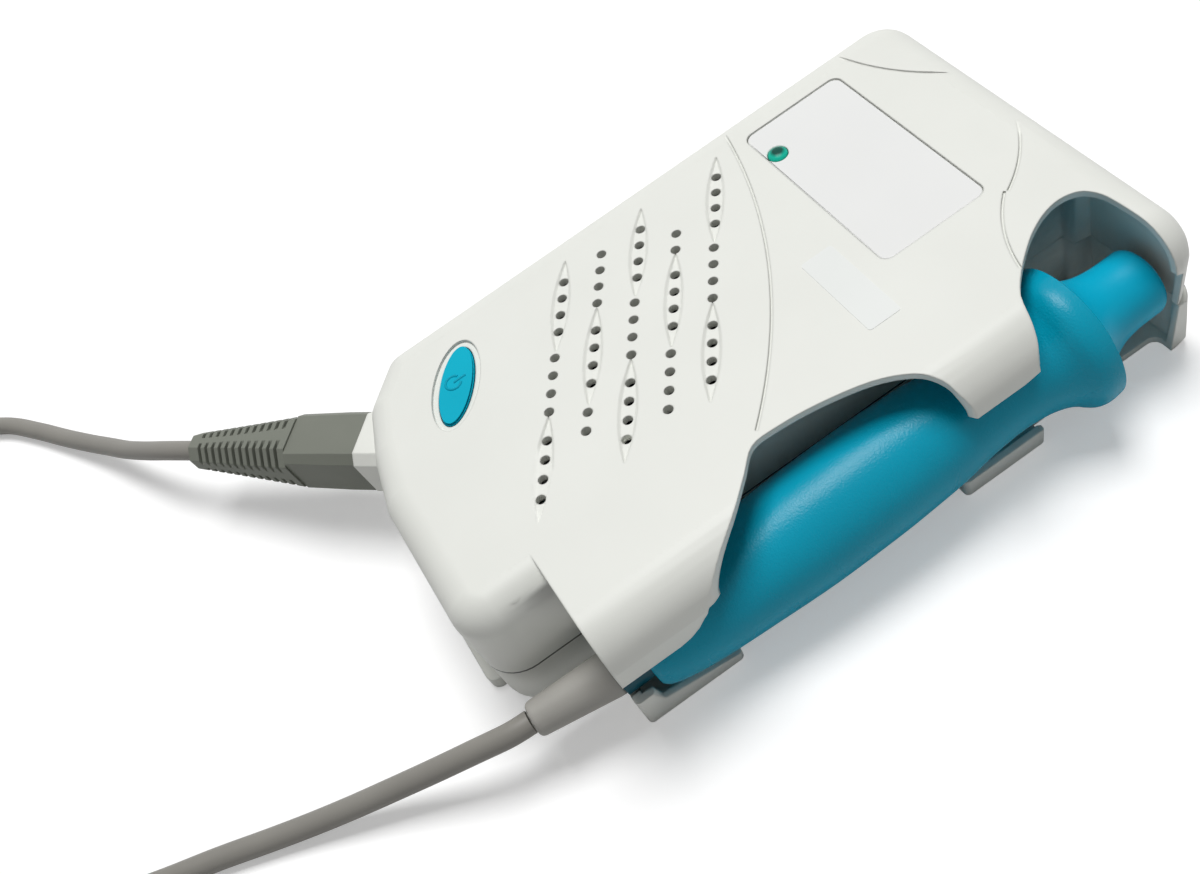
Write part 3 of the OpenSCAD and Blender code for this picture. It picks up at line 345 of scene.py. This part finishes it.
def roundTabs(bm):
    side, roof = plan(tabs["beyond"], 0, 0).x, tabs["below"] * mm
    for upright, size, segments in ((True, tabs["corner"], 4), (False, tabs["rim"], 2)):
        picked = []
        for e in bm.edges:
            a, b = (v.co for v in e.verts)
            onTab = min(a.x, b.x) > side and max(a.z, b.z) < roof
            steep = abs(a.z - b.z) > tabs["steep"] * (a - b).length
            if onTab and steep == upright and isCorner(e):
                picked.append(e)
        bevelEdges(bm, picked, size, segments)


# The grille's leaves keep a crisp rim in the cover's flat top. Angle in degrees
grille = {"from": (8, 30, caseTop - 3), "to": (64, 112, caseTop + 0.1), "rim": 8}


def keepLeaves(mesh):
    low, high = plan(*grille["from"]), plan(*grille["to"])
    bm = bmesh.new()
    bm.from_mesh(mesh)
    for edge in bm.edges:
        middle = (edge.verts[0].co + edge.verts[1].co) / 2
        inside = all(low[k] < middle[k] < high[k] for k in range(3))
        if inside and len(edge.link_faces) == 2:
            if edge.calc_face_angle() > math.radians(grille["rim"]):
                edge.smooth = False
    bm.to_mesh(mesh)
    bm.free()


# The button's cap reaches out to its edge, with no step round it
cap = {"middle": (19.7, 24.85), "turn": -34.3, "length": 18.9, "width": 7, "step": 1,
       "inset": 0.25, "crown": 0.05}


def widenCap(bm):
    top = max(v.co.z for v in bm.verts)
    crown = [v for v in bm.verts if v.co.z > top - cap["crown"] * mm]
    grow = [(cap[k] - cap["inset"]) / (cap[k] - cap["step"]) for k in ("length", "width")]
    home = Matrix.Translation(plan(*cap["middle"], 0)) @ turn(cap["turn"], "Z")
    for v in crown:
        v.co = home @ Matrix.Diagonal((*grow, 1, 1)) @ home.inverted() @ v.co


# Pieces with the CAD's own shape, merged so that they shade smoothly. Gaps in mm
merge = {"gap": 0.002, "sliver": 0.001, "flat": 0.4, "rimSegments": 2, "weight": 60}


def dressNode(name, piece, rim=0.0, material=None):
    bm = bmesh.new()
    bm.from_mesh(nodes[name].data)
    bmesh.ops.remove_doubles(bm, verts=bm.verts, dist=merge["gap"] * mm)
    bmesh.ops.dissolve_degenerate(bm, edges=bm.edges, dist=merge["sliver"] * mm)
    bmesh.ops.dissolve_limit(bm, angle_limit=math.radians(merge["flat"]), verts=bm.verts,
                             edges=bm.edges)
    if name in ("top_cover", "bottom_shell"):
        softenSeam(bm, name)
    if name == "bottom_shell":
        roundTabs(bm)
    if name == "power_button":
        widenCap(bm)
    mesh = bpy.data.meshes.new(piece)
    bm.to_mesh(mesh)
    bm.free()
    smooth(mesh)
    if name == "top_cover":
        keepLeaves(mesh)
    made = addPiece(piece, mesh, bodyOf[name], slotOf[name], material)
    if rim:
        bevel = made.modifiers.new("rims", "BEVEL")
        bevel.width = rim * mm
        bevel.segments = merge["rimSegments"]
        bevel.limit_method = "ANGLE"
        bevel.angle_limit = math.radians(creaseAngle)
    weigh = made.modifiers.new("flatFaces", "WEIGHTED_NORMAL")
    weigh.keep_sharp = True
    weigh.weight = merge["weight"]
    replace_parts(made, name)
    return made


# The lead: out of the probe's relief, along the table, in a coil and back to the plug. The points
# bendFrom and bendTo are in metres
lead = {"thickness": 4.6, "sides": 4, "steps": 6,
        "bendFrom": (0.020, -0.108, 0.005), "bendTo": (0.0316, -0.0735, 0.0127)}
probeRun = [(31.8, -70.8, 12.7), (31.4, -75.4, 12.6), (29.4, -82, 11.4), (26.2, -91, 9),
            (22.9, -100, 6.7), (19.8, -109, 4.9), (16.6, -118, 3.4), (13.5, -127, 2.6),
            (10.2, -137, 2.3), (6.2, -151, 2.3), (0.4, -168, 2.3), (-8, -186, 2.3),
            (-20, -203, 2.4), (-36, -218, 3.6), (-54, -230, 6), (-70, -238.4, 8),
            (-83, -244.2, 8.3), (-88, -245.8, 8.3), (-92.5, -247, 8.3)]
plugRun = [(-74.4, -103.4, 15.5), (-77.7, -106.7, 15.2), (-83.4, -111.6, 13.8),
           (-90, -116.4, 11.2), (-97.4, -121.4, 8.4), (-104.8, -126, 6.2), (-112.4, -131, 4.4),
           (-121.4, -137, 3), (-130.8, -143.4, 2.4), (-139.8, -150.6, 2.3),
           (-146.4, -160, 2.3), (-148.6, -172, 2.3), (-146, -184, 2.4), (-140.4, -196, 2.7),
           (-135.2, -207, 3), (-133.2, -214.4, 3.1), (-133, -219, 3.1)]
coil = {"middle": (-100, -219), "inside": 17.4, "gap": 0.6, "turnsIn": 3, "turnsOut": 2 + 7 / 24,
        "rings": 36, "lift": 0.8}


def coilPoint(t):
    # winds in on the table for t below 0, then out again above, and climbs about t = 0
    pitch = lead["thickness"] + coil["gap"]
    r = coil["inside"] + pitch * abs(t)
    a = math.radians(180 + 360 * (t + coil["turnsIn"]))
    s = max(0.0, min(1.0, 2 * t + 0.5))
    z = coil["lift"] + lead["thickness"] / 2 + pitch * s * s * (3 - 2 * s)
    return Vector((coil["middle"][0] + r * math.cos(a), coil["middle"][1] + r * math.sin(a), z))


def makeLead(pieces):
    turns = coil["turnsIn"] + coil["turnsOut"]
    count = round(turns * coil["rings"])
    wound = [coilPoint(turns * i / count - coil["turnsIn"]) for i in range(count + 1)]
    line = (catmull(probeRun, lead["steps"]) + wound[-2:0:-1]
            + catmull(plugRun[::-1], lead["steps"]))
    radius = lead["thickness"] / 2  # the lead lies on the table, not in it
    path = [Vector((p.x, p.y, max(p.z, radius))) * mm for p in line]
    piece = addObject("lead", tubeMesh("lead", [path], radius * mm, lead["sides"]))
    piece.data.materials.append(finish["cord_grey"])
    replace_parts(piece, "cord_plug_run", "cord_coil", "cord_probe_run")
    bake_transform(piece)


# The probe is turned, from its tail to its nose. Sizes in mm, radii where they are across
probe = {"start": (79.4, 18.5, 12.8), "tilt": 2.3, "around": 96, "neck": 5.9, "body": 98,
         "grip": 11.2, "gripEnd": 50, "waist": 9.3, "waistEnd": 78, "flare": 1.9, "flange": 14.4,
         "front": 0.9, "headStep": 1.2, "head": 16.8, "nose": 6.9, "noseRound": 2,
         "noseFlat": 0.2, "noseArc": 78, "noseSteps": 6, "bodySteps": 4, "headSteps": 5,
         "weld": 0.005}
# How far along, and how far across: in from the grip (tail), a share from the waist to the grip
# (taper), out from the waist (flare), a share from the flare to the flange (flange), out from the
# front's edge (front), or a share from the nose to the head's foot (head)
outlines = {
    "tail": ((0, 5), (0.3, 4.1), (1.6, 3.2), (4, 2.5), (8, 1.8), (14, 1.2), (24, 0.6), (36, 0)),
    "taper": ((0.286, 0.853), (0.571, 0.6), (0.786, 0.2)),
    "flare": ((-16, 0.1), (-12.8, 0.5), (-10.4, 1.1), (-8.4, 1.9)),
    "flange": ((-6.9, 0.3), (-5.9, 0.58), (-4.7, 0.85), (-3.4, 0.98), (-2.2, 1), (-0.9, 0.96)),
    "front": ((-0.25, 0.1), (0, -0.35)),
    "head": ((0, 1), (1.2, 0.62), (3.2, 0.32), (6, 0.12), (9.5, 0.02), (13, 0)),
}


def onProbe():
    return Matrix.Translation(plan(*probe["start"])) @ turn(probe["tilt"], "X") @ turn(-90, "X")


def smoothOutline(outline, steps):
    return [(p.x, p.y) for p in catmull([(r, z, 0) for r, z in outline], steps)]


def turned(name, slot, node, outline):
    # outline: (radius, distance along the axis) in mm, both ends on the axis
    bm = bmesh.new()
    line = [bm.verts.new((r * mm, 0, z * mm)) for r, z in outline]
    for a, b in zip(line, line[1:]):
        bm.edges.new((a, b))
    bmesh.ops.spin(bm, geom=bm.verts[:] + bm.edges[:], cent=(0, 0, 0), axis=(0, 0, 1),
                   angle=math.radians(360), steps=probe["around"], use_merge=True,
                   use_duplicate=False)
    bmesh.ops.remove_doubles(bm, verts=bm.verts, dist=probe["weld"] * mm)
    bmesh.ops.transform(bm, matrix=onProbe(), verts=bm.verts)
    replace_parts(addPiece(name, meshFrom(bm, name, turnedAngle), "probe", slot), node)


def makeProbe():
    grip, waist, flange = probe["grip"], probe["waist"], probe["flange"]
    length, gripEnd, waistEnd = probe["body"], probe["gripEnd"], probe["waistEnd"]
    flare = waist + probe["flare"]
    outline = [(grip - r, z) for z, r in outlines["tail"]] + [(grip, gripEnd)]
    outline += [(waist + (grip - waist) * s, gripEnd + (waistEnd - gripEnd) * t)
                for t, s in outlines["taper"]]
    outline += [(waist, waistEnd)]
    outline += [(waist + r, length + z) for z, r in outlines["flare"]]
    outline += [(flare + (flange - flare) * s, length + z) for z, s in outlines["flange"]]
    front = flare + (flange - flare) * probe["front"]
    body = ([(0, 0)] + smoothOutline(outline, probe["bodySteps"])
            + [(front + r, length + z) for z, r in outlines["front"]] + [(0, length)])
    turned("probeBody", "probe_teal", "probe_body", [(r, z + probe["neck"]) for r, z in body])
    nose, tip, soft = probe["nose"], probe["head"], probe["noseRound"]
    base = front - probe["headStep"]
    head = [(0, 0)] + smoothOutline([(nose + (base - nose) * s, z) for z, s in outlines["head"]],
                                    probe["headSteps"])
    for k in range(probe["noseSteps"] + 1):
        a = math.radians(probe["noseArc"] * k / probe["noseSteps"])
        head.append((nose - soft + soft * math.cos(a), tip - soft + soft * math.sin(a)))
    head += [(nose - soft - probe["noseFlat"], tip), (0, tip)]
    start = probe["neck"] + length
    turned("probeHead", "head_cyan", "probe_head", [(r, z + start) for r, z in head])
    print("probe turned")


# The plug's boot: a tapered square whose four corners are slotted. In sizes: how far along,
# half its width there, and how far its corners are cut. All in mm and degrees
boot = {"from": (6, 3, 18.5), "heading": 225, "dip": 3.5, "start": 18.6, "length": 30.2,
        "sizes": ((0, 6.8, 3.0), (15.1, 5.3, 2.7), (30.2, 3.8, 2.22)),
        "slots": 12, "first": 2.0, "pitch": 2.19, "slot": 1.0, "slope": 0.12,
        "deep": 0.95, "deepAtTip": 0.55, "along": 2.1, "between": 0.25, "reach": 0.15}


def atPlug():
    return (Matrix.Translation(plan(*boot["from"])) @ turn(boot["heading"], "Z")
            @ turn(boot["dip"], "Y") @ turn(90, "Z") @ turn(90, "X"))


def bootRing(z, cut):
    # four points round each corner, those on the corner pushed in where there is a slot
    for (z0, h0, c0), (z1, h1, c1) in zip(boot["sizes"], boot["sizes"][1:]):
        if z <= z1 + 0.001:
            t = (z - z0) / (z1 - z0)
            half, corner = h0 + (h1 - h0) * t, c0 + (c1 - c0) * t
            break
    share = half / boot["sizes"][0][1]
    along = min(boot["along"], half - corner - boot["between"]) * share + boot["reach"]
    least = boot["deepAtTip"]
    deep = boot["deep"] * (least + (1 - least) * share) if cut else 0
    ring = []
    for k in range(4):
        quarter = Matrix.Rotation(math.radians(90 * k), 2)
        for x, y, push in ((half, half - corner - along, 0), (half, half - corner, deep),
                           (half - corner, half, deep), (half - corner - along, half, 0)):
            p = quarter @ Vector((x - push, y - push))
            ring.append(Vector((p.x, p.y, z)) * mm)
    return ring


def makeBoot():
    levels = [(0, False)]
    for k in range(boot["slots"]):
        z = boot["first"] + k * boot["pitch"]
        levels += [(z, False), (z + boot["slope"], True),
                   (z + boot["slot"] - boot["slope"], True), (z + boot["slot"], False)]
    levels.append((boot["length"], False))
    bm = bmesh.new()
    ring = bmesh.ops.create_circle(bm, cap_ends=False, radius=mm, segments=16)["verts"]
    for v, p in zip(ring, bootRing(*levels[0])):
        v.co = p
    edges = bm.edges[:]
    for z, cut in levels[1:]:
        grown = bmesh.ops.extrude_edge_only(bm, edges=edges)["geom"]
        edges = [g for g in grown if isinstance(g, bmesh.types.BMEdge)]
        fresh = [g for g in grown if isinstance(g, bmesh.types.BMVert)]
        place = {v: i for i, v in enumerate(ring)}
        below = {v: [e.other_vert(v) for e in v.link_edges if e.other_vert(v) in place][0]
                 for v in fresh}
        ring = sorted(fresh, key=lambda v: place[below[v]])
        for v, p in zip(ring, bootRing(z, cut)):
            v.co = p
    bmesh.ops.holes_fill(bm, edges=[e for e in bm.edges if len(e.link_faces) == 1], sides=0)
    moved = atPlug() @ Matrix.Translation((0, 0, boot["start"] * mm))
    bmesh.ops.transform(bm, matrix=moved, verts=bm.verts)
    piece = addPiece("plugBoot", meshFrom(bm, "plugBoot"), bodyOf["plug_boot"], "boot_grey")
    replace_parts(piece, "plug_boot")
    return piece


# A bare sticker under the panel
sticker = {"corner": (45.3, 90), "size": (21.4, 7, 0.08), "round": 0.6,
           "light": (0.80, 0.82, 0.80), "dark": (0.785, 0.805, 0.785)}


def makeSticker():
    bm = bmesh.new()
    bmesh.ops.create_cube(bm, size=1)
    w, h, thick = sticker["size"]
    x, y = sticker["corner"]
    place = Matrix.Translation(plan(x + w / 2, y + h / 2, caseTop + thick / 2))
    bmesh.ops.transform(bm, matrix=place @ Matrix.Diagonal((w * mm, h * mm, thick * mm, 1)),
                        verts=bm.verts)
    upright = [e for e in bm.edges if abs((e.verts[0].co - e.verts[1].co).normalized().z) > 0.9]
    bevelEdges(bm, upright, sticker["round"], 4)
    white = plastic("stickerWhite", sticker["light"], sticker["dark"], 0.3, grain=900, depth=0.004)
    addPiece("sticker", meshFrom(bm, "sticker"), "case", "panel_white", white)


# The power sign moulded into the button: a ring left open at its top and a bar, in a darker teal
# than the button, which is painted shade for the sign's groove
sign = {"middle": (19.0, 24.6), "height": 35.38, "ring": 1.65, "open": 64, "steps": 28,
        "bar": (0.1, 2.9), "wire": 0.34, "light": (0.002, 0.36, 0.50), "dark": (0.002, 0.33, 0.46)}


def makeSign():
    x, y = sign["middle"]
    ring = []
    for i in range(sign["steps"] + 1):
        a = math.radians(90 + sign["open"] / 2 + (360 - sign["open"]) * i / sign["steps"])
        ring.append(plan(x + sign["ring"] * math.cos(a), y + sign["ring"] * math.sin(a),
                         sign["height"]))
    bar = [plan(x, y + end, sign["height"]) for end in sign["bar"]]
    mesh = tubeMesh("powerSign", [ring, bar], sign["wire"] * mm, 3)
    teal = plastic("signShadedTeal", sign["light"], sign["dark"], 0.45, specular=0.08)
    addPiece("powerSign", mesh, "button", "button_teal", teal)


# The studio: a broad soft lamp from the upper left of the picture, the room's own light, and
# a floor that grows paler for the camera from floorNear to floorFar, which are in metres
studio = {"lamp": (-0.38, 0.2, 1.45), "lampSize": 0.7, "power": 19.5, "room": 0.2,
          "floor": 0.76, "floorSize": 3, "floorDrop": 0.1, "floorRoughness": 0.9,
          "floorSpecular": 0.1, "floorLift": 0.34, "floorNear": 0.35, "floorFar": 0.8}


def makeRoom():
    # white for the camera, mirrors and glass, dim for the light it gives
    world = bpy.data.worlds.new("room")
    bpy.context.scene.world = world
    world.use_nodes = True
    tree = world.node_tree
    back = tree.nodes["Background"]
    back.inputs["Color"].default_value = (1, 1, 1, 1)
    ray = addNode(tree, "LightPath")
    mirror = addNode(tree, "Math", operation="MAXIMUM")
    wire(ray, "Is Camera Ray", mirror, 0)
    wire(ray, "Is Glossy Ray", mirror, 1)
    seen = addNode(tree, "Math", operation="MAXIMUM")
    wire(mirror, 0, seen, 0)
    wire(ray, "Is Transmission Ray", seen, 1)
    level = addNode(tree, "MapRange", {"To Min": studio["room"]})
    wire(seen, 0, level, "Value")
    wire(level, "Result", back, "Strength")


def makeFloor():
    bm = bmesh.new()
    bmesh.ops.create_grid(bm, x_segments=1, y_segments=1, size=studio["floorSize"])
    mesh = bpy.data.meshes.new("floor")
    bm.to_mesh(mesh)
    bm.free()
    floor = addObject("floor", mesh)
    floor.location.z = -studio["floorDrop"] * mm
    mat, tree, bsdf = newMaterial("floorWhite")
    bsdf.inputs["Base Color"].default_value = (studio["floor"],) * 3 + (1,)
    bsdf.inputs["Roughness"].default_value = studio["floorRoughness"]
    bsdf.inputs["Specular IOR Level"].default_value = studio["floorSpecular"]
    bsdf.inputs["Emission Color"].default_value = (1, 1, 1, 1)
    place = addNode(tree, "TexCoord")
    away = addNode(tree, "VectorMath", operation="LENGTH")
    wire(place, "Object", away, 0)
    paler = addNode(tree, "MapRange", {"From Min": studio["floorNear"],
                                       "From Max": studio["floorFar"],
                                       "To Min": studio["floorLift"]})
    wire(away, "Value", paler, "Value")
    ray = addNode(tree, "LightPath")
    lift = addNode(tree, "Math", operation="MULTIPLY")
    wire(ray, "Is Camera Ray", lift, 0)
    wire(paler, "Result", lift, 1)
    wire(lift, 0, bsdf, "Emission Strength")
    mesh.materials.append(mat)


def makeStudio():
    makeRoom()
    makeFloor()
    data = bpy.data.lights.new("keyLamp", "AREA")
    data.size = studio["lampSize"]
    data.energy = studio["power"]
    lamp = addObject("keyLamp", data)
    lamp.location = studio["lamp"]
    lamp.rotation_euler = (-Vector(studio["lamp"])).to_track_quat("-Z", "Y").to_euler()
    bpy.context.scene.view_settings.view_transform = "Standard"


# paints shade and light into the lamp's lens
paintLampLight(finish["lamp_green"])
whiteWithoutSeamShade = finish["case_white"]  # without the shells' seam
# the case's white gets the painted seam shade; the door and collar keep the white without it
finish["case_white"] = paintSeamShade(whiteWithoutSeamShade.copy())
makeCamera()
makeStudio()
print("camera and studio ready")
for name, node in nodes.items():
    node.data.materials.clear()
    node.data.materials.append(finish[slotOf[name]])
plugShell = dressNode("plug_shell", "plugShell", rim=0.4)
makeLead([plugShell, makeBoot(), nodes["plug_pins"], nodes["cord_tie"]])
dressNode("top_cover", "topCover")
dressNode("bottom_shell", "bottomShell")
dressNode("battery_door", "batteryDoor", material=whiteWithoutSeamShade)
dressNode("label_panel", "frontPanel", rim=0.2)
dressNode("led_lens", "lamp")
dressNode("power_button", "powerButton", rim=0.12)
dressNode("probe_relief", "probeRelief", rim=0.4)
dressNode("socket_collar", "socketCollar", material=whiteWithoutSeamShade)
makeProbe()
makeSticker()
makeSign()
print("pieces made")
